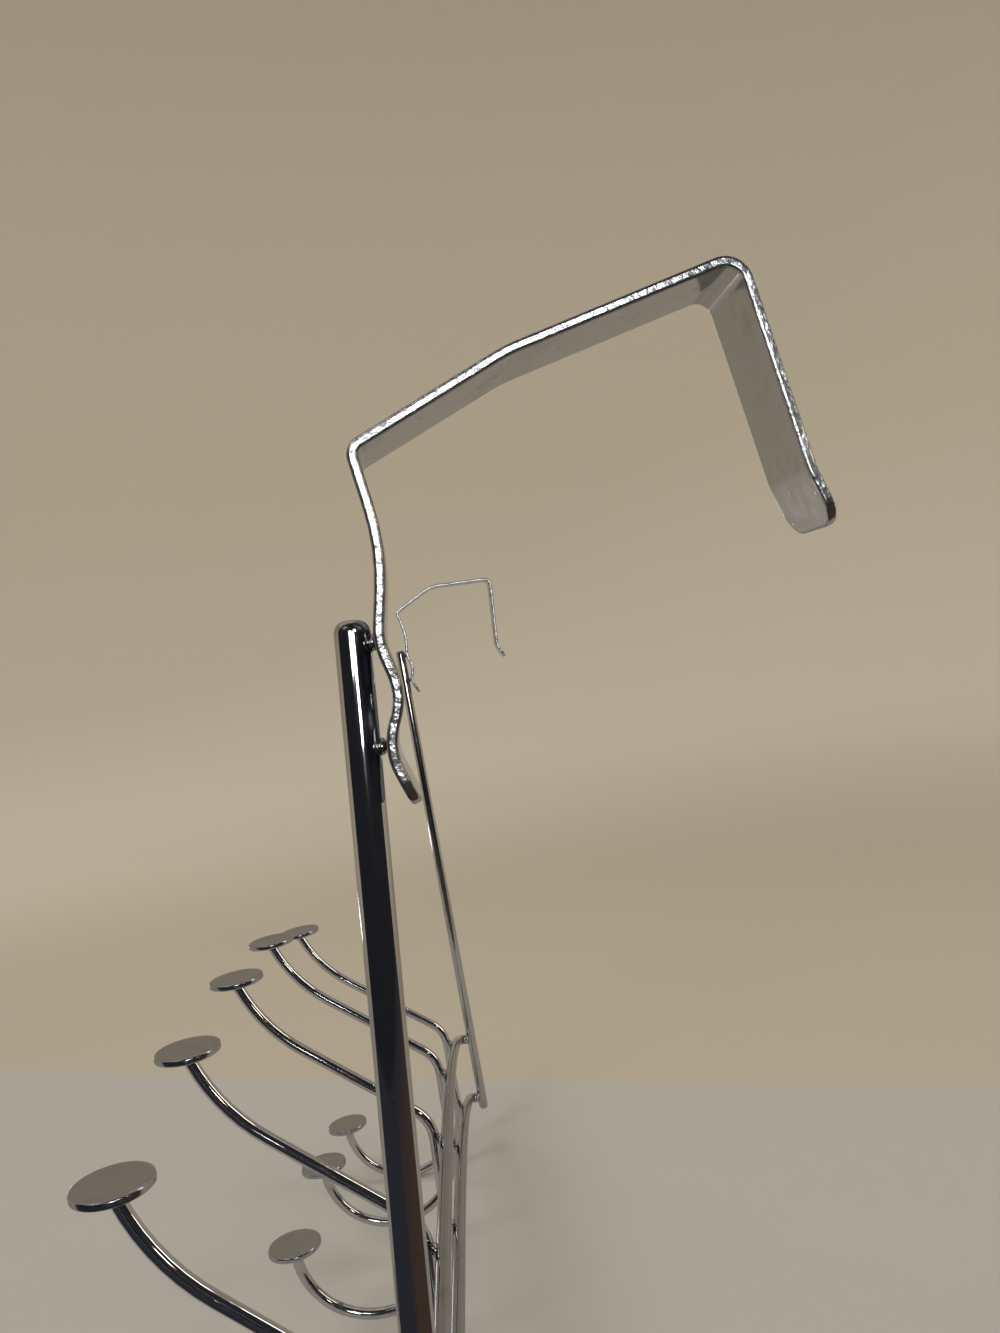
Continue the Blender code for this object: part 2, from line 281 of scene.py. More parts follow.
@dataclass
class Wiring:
    """The nodes of one material or shared group, each added with its settings and inputs in one call."""

    made: Material | Tree
    tree: Tree
    given: Outputs
    last: Node

    @classmethod
    def of_material(cls, name: str) -> "Wiring":
        """Start a material.

        Args:
            name: The material's name.

        Returns:
            Its wiring, from the texture coordinates to the shader.
        """
        made = bpy.data.materials.new(name)
        made.use_nodes = True
        nodes = made.node_tree.nodes
        return cls(made, made.node_tree, nodes.new("ShaderNodeTexCoord").outputs, nodes["Principled BSDF"])

    @classmethod
    def of_group(cls, name: str, inputs: tuple[str, ...], outputs: tuple[str, ...]) -> "Wiring":
        """Start a shared group.

        Args:
            name: The group's name.
            inputs: Names of its inputs, numbers but for "Vector".
            outputs: Names of its outputs, all numbers.

        Returns:
            Its wiring, from its inputs to its outputs.
        """
        tree = bpy.data.node_groups.new(name, "ShaderNodeTree")
        for way, names in (("INPUT", inputs), ("OUTPUT", outputs)):
            for socket in names:
                kind = "NodeSocketVector" if socket == "Vector" else "NodeSocketFloat"
                tree.interface.new_socket(name=socket, in_out=way, socket_type=kind)
        nodes = tree.nodes
        return cls(tree, tree, nodes.new("NodeGroupInput").outputs, nodes.new("NodeGroupOutput"))

    def feed(self, node: Node, inputs: Inputs) -> None:
        """Link or set a node's inputs.

        Args:
            node: The node.
            inputs: A socket, number or tone for each input, by name or place.
        """
        for name, value in inputs.items():
            target = node.inputs[name]
            if isinstance(value, Socket):
                self.tree.links.new(value, target)
            else:
                target.default_value = (*value, 1) if target.type == "RGBA" else value

    def finish(self, inputs: Inputs) -> Material | Tree:
        """Feed the last node and return what is made."""
        self.feed(self.last, inputs)
        return self.made

    def node(self, kind: str, inputs: Inputs, **settings: object) -> Outputs:
        """Add a node.

        Args:
            kind: Its type, as Blender names it after "ShaderNode".
            inputs: A socket, number or tone for each input, by name or place.
            settings: Its own settings.

        Returns:
            Its outputs.
        """
        node = self.tree.nodes.new(f"ShaderNode{kind}")
        for name, value in settings.items():
            setattr(node, name, value)
        self.feed(node, inputs)
        return node.outputs

    def math(self, operation: str, first: Socket, second: Socket | float = 0.0) -> Socket:
        """Result of one sum on a socket and a second socket or number."""
        return self.node("Math", {0: first, 1: second}, operation=operation)[0]

    def ease(self, value: Socket, start: float, end: float) -> Socket:
        """Ease a value from 0 at the start to 1 at the end, which may be the lower one."""
        inputs = {"Value": value, "From Min": start, "From Max": end}
        return self.node("MapRange", inputs, interpolation_type="SMOOTHSTEP")["Result"]

    def noise(self, vector: Socket, scale: Socket | float, detail: float) -> Socket:
        """Value of a noise texture."""
        return self.node("TexNoise", {"Vector": vector, "Scale": scale, "Detail": detail})["Fac"]

    def mix(self, share: Socket, first: Socket | Triple, second: Triple) -> Socket:
        """Mix two tones by a share of the second."""
        return self.node("Mix", {"Factor": share, "A": first, "B": second}, data_type="RGBA")["Result"]

    def axis(self, vector: Socket, name: str) -> Socket:
        """One axis of a vector."""
        return self.node("SeparateXYZ", {"Vector": vector})[name]

    def reach(self, vector: Socket) -> Socket:
        """Length of a vector."""
        return self.node("VectorMath", {0: vector}, operation="LENGTH")["Value"]


@dataclass
class PlatingShader:
    """Makes the chrome materials from shared groups for relief, the film of handling and sheared edges."""

    grazing_tint: Triple = (0.74, 0.74, 0.76)
    ripple_detail: float = 2
    pit_fade: Span = (0.30, 0.08)
    pit_haze: float = 0.8
    patch_detail: float = 3
    patch_fade: Span = (0.42, 0.68)
    smears_per_patch: float = 7
    smear_detail: float = 5
    smear_fade: Span = (0.30, 0.72)
    edge_fade: Span = (0.0065, 0.0069)
    edge_limit: float = 0.0080
    tear_scale: float = 620
    tear_detail: float = 3
    tear_depth: float = 0.00022

    def __post_init__(self) -> None:
        """Build the shared groups."""
        self.relief = self._relief_group()
        self.film = self._film_group()
        self.cut_edge = self._cut_edge_group()

    def _relief_group(self) -> Tree:
        """Build the plating's soft ripple and the fine pits in it.

        Returns:
            The group.
        """
        inputs = ("Vector", "Ripple Scale", "Pit Scale", "Pit Share")
        wiring = Wiring.of_group("plating_relief", inputs, ("Ripple", "Pits"))
        place, ripple_scale, pit_scale, pit_share = (wiring.given[name] for name in inputs)
        cells = wiring.node("TexVoronoi", {"Vector": place, "Scale": pit_scale, "Randomness": 1.0})
        chance = wiring.node("SeparateColor", {"Color": cells["Color"]})["Red"]
        chosen = wiring.math("LESS_THAN", chance, pit_share)
        pits = wiring.math("MULTIPLY", wiring.ease(cells["Distance"], *self.pit_fade), chosen)
        ripple = wiring.noise(place, ripple_scale, self.ripple_detail)
        return wiring.finish({"Ripple": ripple, "Pits": pits})

    def _film_group(self) -> Tree:
        """Build the patches of haze from handling, broken by finer smears.

        Returns:
            The group.
        """
        wiring = Wiring.of_group("handling_film", ("Vector", "Scale"), ("Film",))
        place, scale = wiring.given["Vector"], wiring.given["Scale"]
        patches = wiring.ease(wiring.noise(place, scale, self.patch_detail), *self.patch_fade)
        finer = wiring.math("MULTIPLY", scale, self.smears_per_patch)
        smears = wiring.ease(wiring.noise(place, finer, self.smear_detail), *self.smear_fade)
        return wiring.finish({"Film": wiring.math("MULTIPLY", patches, smears)})

    def _cut_edge_group(self) -> Tree:
        """Build the mask of a strap's sheared narrow faces, from its middle's X, and the tears in them.

        Returns:
            The group.
        """
        wiring = Wiring.of_group("cut_edge", ("Vector", "Middle"), ("Edge", "Tears"))
        place = wiring.given["Vector"]
        offset = wiring.math("SUBTRACT", wiring.axis(place, "X"), wiring.given["Middle"])
        reach = wiring.math("ABSOLUTE", offset)
        near = wiring.math("LESS_THAN", reach, self.edge_limit)
        edge = wiring.math("MULTIPLY", wiring.ease(reach, *self.edge_fade), near)
        tears = wiring.math("MULTIPLY", wiring.noise(place, self.tear_scale, self.tear_detail), edge)
        return wiring.finish({"Edge": edge, "Tears": tears})

    def material(self, name: str, finish: Finish) -> Material:
        """Make the material of one finish.

        Args:
            name: The material's name.
            finish: The tints, roughness and relief.

        Returns:
            A material whose colour, roughness and relief vary over the surface.
        """
        wiring = Wiring.of_material(name)
        place = {"Vector": wiring.given["Object"]}
        scales = {"Ripple Scale": 1 / finish.ripple_size, "Pit Scale": 1 / finish.pit_size}
        inputs = {**place, **scales, "Pit Share": finish.pit_share}
        relief = wiring.node("Group", inputs, node_tree=self.relief)
        film = wiring.node("Group", {**place, "Scale": 1 / finish.film_size}, node_tree=self.film)
        worn = wiring.math("MAXIMUM", film["Film"], wiring.math("MULTIPLY", relief["Pits"], self.pit_haze))
        sunk = wiring.math("MULTIPLY", relief["Pits"], -finish.pit_depth / finish.ripple_depth)
        height = wiring.math("ADD", relief["Ripple"], sunk)
        for middle in finish.cut_edge_at:
            edge = wiring.node("Group", {**place, "Middle": middle}, node_tree=self.cut_edge)
            worn = wiring.math("MAXIMUM", worn, edge["Edge"])
            torn = wiring.math("MULTIPLY", edge["Tears"], self.tear_depth / finish.ripple_depth)
            height = wiring.math("ADD", height, torn)
        limits = {"To Min": finish.roughness, "To Max": finish.film_roughness}
        bump = {"Strength": 1.0, "Distance": finish.ripple_depth, "Height": height}
        return wiring.finish(
            {
                "Metallic": 1.0,
                "Specular Tint": self.grazing_tint,
                "Base Color": wiring.mix(worn, finish.tint, finish.film_tint),
                "Roughness": wiring.node("MapRange", {"Value": worn, **limits})["Result"],
                "Normal": wiring.node("Bump", bump)["Normal"],
            }
        )


class Bench:
    """Steps at the bench that the sub-assemblies have in common."""

    MERGE_BELOW = 0.000005

    @staticmethod
    def pick(*pieces: Piece) -> None:
        """Select these pieces alone, or nothing.

        Args:
            pieces: The pieces, of which the first one becomes the active one.
        """
        for item in bpy.context.selected_objects:
            item.select_set(False)
        for piece in pieces:
            piece.select_set(True)
        if pieces:
            bpy.context.view_layer.objects.active = pieces[0]

    @staticmethod
    def add(primitive: Operator, name: str, scale: Triple = (1, 1, 1), **sizes: object) -> Piece:
        """Add a primitive and put its place, turn and scale into its mesh.

        Args:
            primitive: Blender's operator for it.
            name: Its name.
            scale: Its scale along X, Y and Z.
            sizes: The operator's own sizes and place.

        Returns:
            The new piece.
        """
        Bench.pick()
        primitive(**sizes)
        item = bpy.context.object
        item.name, item.scale = name, scale
        bpy.ops.object.transform_apply(location=True, rotation=True, scale=True)
        return item

    @staticmethod
    def disc(name: str, corners: int, radius: float, height: float) -> Piece:
        """Add a filled circle that lies level at a height."""
        sizes = {"vertices": corners, "radius": radius, "location": (0, 0, height)}
        return Bench.add(bpy.ops.mesh.primitive_circle_add, name, fill_type="NGON", **sizes)

    @staticmethod
    def edit(item: Piece, every: bool = False) -> None:
        """Open a piece in edit mode, alone.

        Args:
            item: The piece.
            every: Whether all of it is selected.
        """
        Bench.pick(item)
        bpy.ops.object.mode_set(mode="EDIT")
        if every:
            bpy.ops.mesh.select_all(action="SELECT")

    @staticmethod
    def done() -> None:
        """Leave edit mode."""
        bpy.ops.object.mode_set(mode="OBJECT")

    @staticmethod
    def tidy(item: Piece, smooth_below: float = CREASE) -> Piece:
        """Close a piece, merge its doubles, point its faces outwards and shade it smooth.

        Args:
            item: The piece, in either mode.
            smooth_below: Edges sharper than this angle stay sharp.

        Returns:
            The piece.
        """
        Bench.done()
        Bench.edit(item, every=True)
        bpy.ops.mesh.remove_doubles(threshold=Bench.MERGE_BELOW)
        bpy.ops.mesh.normals_make_consistent(inside=False)
        Bench.done()
        bpy.ops.object.shade_smooth_by_angle(angle=math.radians(smooth_below))
        return item

    @staticmethod
    def select_only(
        item: Piece,
        edges: EdgeTest | None = None,
        faces: Callable[[bpy.types.MeshPolygon], bool] | None = None,
    ) -> None:
        """Select the edges or faces that pass a test, and nothing else, for the next time in edit mode.

        Args:
            item: The piece, in object mode.
            edges: Says of an edge's two ends whether the edge is wanted.
            faces: Says of a face whether it is wanted.
        """
        mesh = item.data
        for part in (mesh.vertices, mesh.edges, mesh.polygons):
            part.foreach_set("select", [False] * len(part))
        bpy.context.tool_settings.mesh_select_mode = (False, edges is not None, faces is not None)
        for edge in mesh.edges if edges else ():
            edge.select = edges(*(mesh.vertices[index].co for index in edge.vertices))
        for face in mesh.polygons if faces else ():
            face.select = faces(face)

    @staticmethod
    def level(start: Vector, end: Vector) -> bool:
        """Whether an edge runs level."""
        return start.z == end.z

    @staticmethod
    def round_edges(item: Piece, edges: EdgeTest, width: float, segments: int) -> None:
        """Round some of a piece's edges.

        Args:
            item: The piece, in object mode.
            edges: Says of an edge's two ends whether the edge is rounded.
            width: How far the rounding reaches on each face.
            segments: Steps across it.
        """
        Bench.select_only(item, edges=edges)
        Bench.edit(item)
        bpy.ops.mesh.bevel(offset=width, segments=segments, profile=0.5, affect="EDGES")
        Bench.done()

    @staticmethod
    def join(pieces: list[Piece], name: str) -> Piece:
        """Join pieces into one.

        Args:
            pieces: The pieces.
            name: Name of the whole.

        Returns:
            The whole.
        """
        Bench.pick(*pieces)
        bpy.ops.object.join()
        pieces[0].name = name
        return pieces[0]

    @staticmethod
    def copy_to(model: Piece, name: str, place: Matrix) -> Piece:
        """Copy a piece, with a mesh of its own, to a place.

        Args:
            model: The piece, modelled at the origin.
            name: Name of the copy.
            place: Matrix of its place, which goes into its mesh.

        Returns:
            The copy.
        """
        twin = bpy.data.objects.new(name, model.data.copy())
        twin.data.name = name
        twin.data.transform(place)
        bpy.context.scene.collection.objects.link(twin)
        return twin

    @staticmethod
    def hand_over(piece: Piece, material: Material, slot: str, *nodes: str) -> None:
        """Dress a finished piece and say what carries it.

        Args:
            piece: The piece.
            material: Its material.
            slot: The record's slot that its finish comes from. Not used.
            nodes: The CAD nodes that it stands for.
        """
        piece.data.materials.clear()
        piece.data.materials.append(material)
        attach(piece, BODY)
        if nodes:
            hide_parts(*nodes)
        LOG.info("%s: %d faces", piece.name, len(piece.data.polygons))


@dataclass
class Bender:
    """Bends a section into a wire or strip in one upright plane, by extruding and spinning its end face.

    The place is the middle of the end face, as forward and up. A heading of 0 is forward and 90 is up.
    Forward is 1 for +Y and -1 for -Y.
    """

    name: str
    place: Vector
    heading: float
    forward: int
    fine_step: float = 5
    fewest_steps: int = 2

    def section(self, primitive: Operator, scale: Triple = (1, 1, 1), **sizes: object) -> None:
        """Start from a flat section across the heading and leave it open in edit mode.

        Args:
            primitive: Blender's operator for the section.
            scale: Its scale along its own axes.
            sizes: The operator's own sizes.
        """
        along = in_space(toward(self.heading), self.forward)
        tilt = math.atan2(-along.y, along.z)
        place = in_space(self.place, self.forward)
        self.item = Bench.add(primitive, self.name, scale, location=place, rotation=(tilt, 0, 0), **sizes)
        Bench.edit(self.item, every=True)

    def run(self, length: float) -> None:
        """Go straight on.

        Args:
            length: For how long.
        """
        along = in_space(toward(self.heading), self.forward)
        bpy.ops.mesh.extrude_region_move(TRANSFORM_OT_translate={"value": along * length})
        self.place = self.place + length * toward(self.heading)

    def bend(self, radius: float, turn: float) -> None:
        """Follow an arc.

        Args:
            radius: Radius of the arc.
            turn: Its angle, which is positive for a turn up and back.
        """
        reach = math.copysign(1, turn) * radius
        centre = self.place + reach * toward(self.heading).orthogonal()
        bpy.ops.mesh.spin(
            steps=max(self.fewest_steps, math.ceil(abs(turn) / self.fine_step)),
            dupli=False,
            angle=-math.radians(turn),
            center=in_space(centre, self.forward),
            axis=(self.forward, 0, 0),
        )
        self.heading += turn
        self.place = centre - reach * toward(self.heading).orthogonal()


@dataclass
class WeldShop:
    """Makes the small fillets and beads of metal that resistance welding leaves."""

    collar_corners: int = 32
    collar_steps: int = 7
    size_per_lump: float = 14
    smoothing: float = 0.5
    smoothing_rounds: int = 2

    def collar(self, foot: float, height: float, place: Matrix) -> Piece:
        """Make the flare where a hook wire's end meets the flat of a disc.

        Args:
            foot: Radius of the flare on the disc.
            height: How far down the wire the flare reaches.
            place: Place of the disc's flat, with its face up.

        Returns:
            The flare, round the wire's end.
        """
        before = wire = SIZES.wire_radius
        item = Bench.disc("collar", self.collar_corners, wire, -height)
        Bench.edit(item, every=True)
        for last, angle in quarter_turn(self.collar_steps):
            radius = wire + (foot - wire) * (1 - math.cos(angle))
            lift = height * (math.sin(angle) - math.sin(last))
            bpy.ops.mesh.extrude_region_move(TRANSFORM_OT_translate={"value": (0, 0, lift)})
            share = radius / before
            bpy.ops.transform.resize(value=(share, share, 1), center_override=(0, 0, 0))
            before = radius
        Bench.tidy(item).data.transform(place)
        return item

    def beads(self, centres: list[Triple], sizes: Triple, seeds: tuple[int, int]) -> list[Piece]:
        """Make lumpy beads squeezed out between crossing pieces.

        Args:
            centres: Middle of each bead.
            sizes: Half a bead's length along X, Y and Z.
            seeds: Seed of each bead's lumps.

        Returns:
            The beads.
        """
        made = []
        lump = min(sizes) / self.size_per_lump
        for centre, seed in zip(centres, seeds):
            ball = bpy.ops.mesh.primitive_ico_sphere_add
            bead = Bench.add(ball, "bead", sizes, subdivisions=2, radius=1, location=centre)
            Bench.edit(bead, every=True)
            bpy.ops.transform.vertex_random(offset=lump, uniform=0.0, normal=1.0, seed=seed)
            bpy.ops.mesh.subdivide(number_cuts=1, smoothness=1.0)
            bpy.ops.mesh.vertices_smooth(factor=self.smoothing, repeat=self.smoothing_rounds)
            made.append(Bench.tidy(bead, HALF_TURN))
        return made


WELDER = WeldShop()


@dataclass
class Uprights:
    """The two round rods that hang from the straps."""

    chrome: Material
    corners: int = 48
    end_rounding: float = 0.0016
    rounding_steps: int = 6

    def build(self) -> None:
        """Model one rod with rounded ends, place a copy at each end of the rack and dress it."""
        middle = (SIZES.rod_top + SIZES.rod_foot) / 2
        length = SIZES.rod_top - SIZES.rod_foot
        sizes = {"vertices": self.corners, "radius": SIZES.rod_radius, "depth": length}
        model = Bench.add(bpy.ops.mesh.primitive_cylinder_add, "rod", location=(0, 0, middle), **sizes)
        Bench.round_edges(model, Bench.level, self.end_rounding, self.rounding_steps)
        Bench.tidy(model)
        for side in Side:
            rod = Bench.copy_to(model, f"{side.word}_upright", SIZES.side_place(side))
            Bench.hand_over(rod, self.chrome, ROD_CHROME.slot, f"upright_{side.word}")
        bpy.data.objects.remove(model)


@dataclass
class Rails:
    """The two arched rails, whose ends turn back onto the uprights, with the beads that weld them there."""

    chrome: Material
    weld_chrome: Material
    arch_points: int = 96
    end_steps: int = 14
    roundness: int = 8
    bead: Triple = (0.0026, 0.0011, 0.0028)
    bead_seeds: tuple[int, int] = (10, 12)

    def _centre_line(self, level: Level) -> list[Vector]:
        """Draw a rail's centre line.

        Args:
            level: The rail's level.

        Returns:
            Points along it, from its right end to its left end.
        """
        seat = -(SIZES.rod_radius + SIZES.weld_gap / 2)
        front = -SIZES.rail_standoff
        radius = SIZES.rail_standoff + seat
        half = SIZES.half_span / math.cos(SIZES.rail_yaw(level))
        straight = half - radius
        plan = [
            (half - radius * (1 - math.cos(angle)), seat - radius * math.sin(angle))
            for angle, _ in quarter_turn(self.end_steps)
        ]
        shares = [1 - 2 * step / self.arch_points for step in range(self.arch_points // 2)]
        plan += [(straight * share, front) for share in shares]
        plan += [(0, front)] + [(-x, y) for x, y in reversed(plan)]
        return [Vector((x, y, SIZES.rail_end(level) + SIZES.rail_height(x))) for x, y in plan]

    def _model(self, level: Level) -> Piece:
        """Model one rail as a round bar along its centre line.

        Args:
            level: The rail's level.

        Returns:
            The rail, before its turn about Z.
        """
        Bench.pick()
        bpy.ops.curve.primitive_bezier_curve_add(location=(0, 0, 0))
        bpy.context.object.name = f"{level.value}_rail"
        line = bpy.context.object.data
        line.splines.clear()
        line.dimensions = "3D"
        line.bevel_depth = SIZES.rail_radius
        line.bevel_resolution = self.roundness
        line.use_fill_caps = True
        points = self._centre_line(level)
        spline = line.splines.new("POLY")
        spline.points.add(len(points) - 1)
        for target, point in zip(spline.points, points):
            target.co = (*point, 1)
        bpy.ops.object.convert(target="MESH")
        return Bench.tidy(bpy.context.object)

    def build(self) -> None:
        """Place and dress both rails and their end welds."""
        for level in Level:
            rail = self._model(level)
            rail.data.transform(Matrix.Rotation(SIZES.rail_yaw(level), 4, "Z"))
            Bench.hand_over(rail, self.chrome, RAIL_CHROME.slot, f"rail_{level.value}")
            height = SIZES.rail_end(level)
            lean = height * math.tan(math.radians(SIZES.lean))
            ways = [side.value for side in Side]
            seats = [(way * SIZES.half_span, way * lean - SIZES.rod_radius, height) for way in ways]
            welds = Bench.join(WELDER.beads(seats, self.bead, self.bead_seeds), f"{level.value}_rail_welds")
            Bench.hand_over(welds, self.weld_chrome, RAIL_CHROME.slot)


@dataclass
class Hooks:
    """The six double hooks: an S-arm above and a J below, bent from one wire, with a disc on each tip."""

    chrome: Material
    disc_chrome: Material
    weld_chrome: Material
    corners: int = 32
    past_rail: float = 0.0005
    shoulder_radius: float = 0.014
    shoulder_turn: float = 52.5
    arm_run: float = 0.046
    arm_radius: float = 0.060
    arm_turn: float = 31
    tip_radius: float = 0.005
    j_radius: float = 0.0275
    j_tip_run: float = 0.001
    disc_radius: float = 0.0095
    disc_thickness: float = 0.0020
    disc_rim: float = 0.0006
    rim_steps: int = 6
    disc_tilt: float = 1.5
    disc_corners: int = 72
    disc_hollow: float = 0.00012
    hollow_rings: int = 4
    collar_foot: float = 0.0031
    collar_height: float = 0.0022
    bead: Triple = (0.0021, 0.0010, 0.0021)
    bead_seeds: tuple[int, int] = (5, 6)
    seats: dict[Level, Matrix] = field(default_factory=dict)

    def _seat(self, tip: Vector, heading: float) -> Matrix:
        """Place of the disc that sits square on a tip, from the disc's middle.

        Args:
            tip: Middle of the wire's end, as forward and up.
            heading: Heading in which the wire ends.

        Returns:
            The matrix that carries a disc modelled at the origin to the hook's tip.
        """
        middle = tip + (SIZES.weld_gap + self.disc_thickness / 2) * toward(heading)
        turn = Matrix.Rotation(math.radians(self.disc_tilt), 4, "X")
        return Matrix.Translation(in_space(middle, -1)) @ turn

    def _wire(self) -> Piece:
        """Bend one wire from the lower tip, round the J, up the stem and along the upper arm.

        Returns:
            The wire.
        """
        drop = UP - self.disc_tilt
        bottom = Vector((self.j_radius, -SIZES.rail_pitch))
        tip = bottom + self.j_radius * toward(drop - RIGHT_ANGLE) + self.j_tip_run * toward(drop)
        self.seats[Level.LOWER] = self._seat(tip, drop)
        bender = Bender("double_hook", tip, drop - HALF_TURN, forward=-1)
        circle = bpy.ops.mesh.primitive_circle_add
        bender.section(circle, vertices=self.corners, radius=SIZES.wire_radius, fill_type="NGON")
        bender.run(self.j_tip_run)
        bender.bend(self.j_radius, self.disc_tilt - HALF_TURN)
        bender.run(SIZES.rail_pitch + self.past_rail)
        bender.bend(self.shoulder_radius, -self.shoulder_turn)
        bender.run(self.arm_run)
        bender.bend(self.arm_radius, self.arm_turn)
        bender.bend(self.tip_radius, turn_between(bender.heading, drop))
        self.seats[Level.UPPER] = self._seat(bender.place, bender.heading)
        return Bench.tidy(bender.item)

    def _disc(self) -> Piece:
        """Model one disc with a rolled rim and two faintly hollow faces.

        Returns:
            The disc.
        """
        sizes = {"vertices": self.disc_corners, "radius": self.disc_radius, "depth": self.disc_thickness}
        disc = Bench.add(bpy.ops.mesh.primitive_cylinder_add, "disc", location=(0, 0, 0), **sizes)
        Bench.round_edges(disc, Bench.level, self.disc_rim, self.rim_steps)
        flat = self.disc_radius - 2 * self.disc_rim
        ring = self.disc_radius / (self.hollow_rings + 2)
        for way in (1, -1):
            Bench.select_only(disc, faces=lambda face: face.center.z * way > 0 and face.area > flat * flat)
            Bench.edit(disc)
            for step in range(self.hollow_rings):
                bpy.ops.mesh.inset(thickness=ring, depth=0)
                bpy.ops.transform.translate(value=(0, 0, -way * self.disc_hollow / (2 + 2 * step)))
            Bench.done()
        return Bench.tidy(disc)

    def _welds(self) -> Piece:
        """Model the two disc flares and the two crossing beads of one hook.

        Returns:
            The welds as one piece.
        """
        under = Matrix.Translation((0, 0, -self.disc_thickness / 2))
        flats = [self.seats[level] @ under for level in Level]
        parts = [WELDER.collar(self.collar_foot, self.collar_height, flat) for flat in flats]
        back = SIZES.wire_radius + SIZES.weld_gap / 2
        crossings = [(0, back, 0), (0, back, -SIZES.rail_pitch)]
        return Bench.join(parts + WELDER.beads(crossings, self.bead, self.bead_seeds), "hook_welds")

    def build(self) -> None:
        """Place six copies of the hook, its discs and its welds, and dress them."""
        wire, disc, welds = self._wire(), self._disc(), self._welds()
        for number in range(1, SIZES.hook_count + 1):
            place = SIZES.hook_place(number)
            hook = Bench.copy_to(wire, f"double_hook_{number}", place)
            Bench.hand_over(hook, self.chrome, WIRE_CHROME.slot, f"hook_{number}")
            for level in Level:
                button = Bench.copy_to(disc, f"{level.value}_disc_{number}", place @ self.seats[level])
                Bench.hand_over(button, self.disc_chrome, DISC_CHROME.slot, f"disc_{level.value}_{number}")
            bead = Bench.copy_to(welds, f"hook_welds_{number}", place)
            Bench.hand_over(bead, self.weld_chrome, WIRE_CHROME.slot)
        for model in (wire, disc, welds):
            bpy.data.objects.remove(model)


@dataclass(frozen=True)
class StrapBends:
    """How one strap is bent above the front fold, and how long its rear leg comes out."""

    side: Side
    rise_slope: float
    top_slope: float
    leg_lean: float
    tip_lean: float
    leg_length: float


